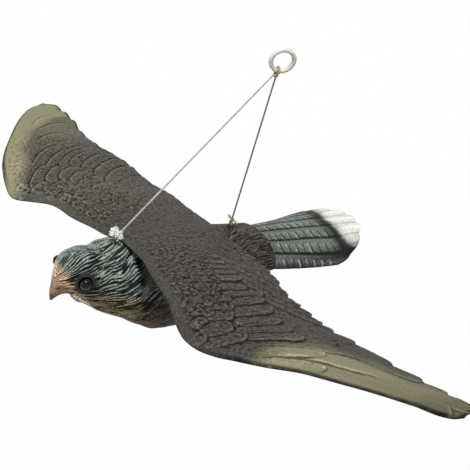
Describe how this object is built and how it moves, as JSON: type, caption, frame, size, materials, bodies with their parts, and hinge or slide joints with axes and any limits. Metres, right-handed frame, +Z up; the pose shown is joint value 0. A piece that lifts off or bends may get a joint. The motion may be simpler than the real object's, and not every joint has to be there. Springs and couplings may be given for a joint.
{
  "type": "hanging hawk decoy",
  "caption": "Moulded hawk decoy in a glide with spread wings, hung by a cord bridle from a small plastic ring so that it swings, turns and banks in the wind",
  "frame": {"origin": "the point inside the hanging ring, across from the cord's hitch, where a hook or nail bears", "axes": "+X toward the bird's left wing tip, +Y toward its tail, +Z up, with the bird hanging at rest"},
  "size_m": [0.594, 0.333, 0.2764],
  "materials": {
    "milky_ring_plastic": "satin",
    "brown_twine": "matte",
    "pale_twine": "matte",
    "grey_brown_plumage": "satin",
    "dark_belly_plumage": "satin",
    "wing_plumage": "matte",
    "green_grey_tail": "satin",
    "black_gloss_eye": "polished",
    "clear_washer_plastic": "satin",
    "dark_eyelet_steel": "satin"
  },
  "bodies": {
    "hanger": {"hanging_ring": "milky_ring_plastic"},
    "hitch": {"ring_hitch": "brown_twine"},
    "bridle": {"front_cord": "brown_twine", "rear_cord": "brown_twine", "front_knot": "pale_twine", "rear_knot": "brown_twine"},
    "bird": {"back_shell": "grey_brown_plumage", "belly_shell": "dark_belly_plumage", "tail_fan": "green_grey_tail", "left_eye": "black_gloss_eye", "right_eye": "black_gloss_eye", "left_eye_washer": "clear_washer_plastic", "right_eye_washer": "clear_washer_plastic", "front_eyelet": "dark_eyelet_steel", "rear_eyelet": "dark_eyelet_steel"},
    "left_wing": {"left_wing": "wing_plumage"},
    "right_wing": {"right_wing": "wing_plumage"}
  },
  "joints": [
    {"name": "ring_swing", "type": "hinge", "parent": "hanger", "child": "hitch", "pos_m": [-0.00374, 0.00593, -0.01728], "axis": [0.4141, 0.8847, 0.2139], "range_deg": [-45, 45]},
    {"name": "bridle_spin", "type": "hinge", "parent": "hitch", "child": "bridle", "pos_m": [-0.00374, 0.00593, -0.01728], "axis": [0, 0, 1], "range_deg": [-180, 180]},
    {"name": "bird_rock", "type": "hinge", "parent": "bridle", "child": "bird", "pos_m": [-0.00374, -0.06881, -0.20447], "axis": [0, 0.9373, 0.3486], "range_deg": [-50, 50]},
    {"name": "left_wing_pull", "type": "slide", "parent": "bird", "child": "left_wing", "axis": [0, -0.3486, 0.9373], "range_m": [0, 0.0065]},
    {"name": "right_wing_pull", "type": "slide", "parent": "bird", "child": "right_wing", "axis": [0, -0.3486, 0.9373], "range_m": [0, 0.0065]}
  ]
}
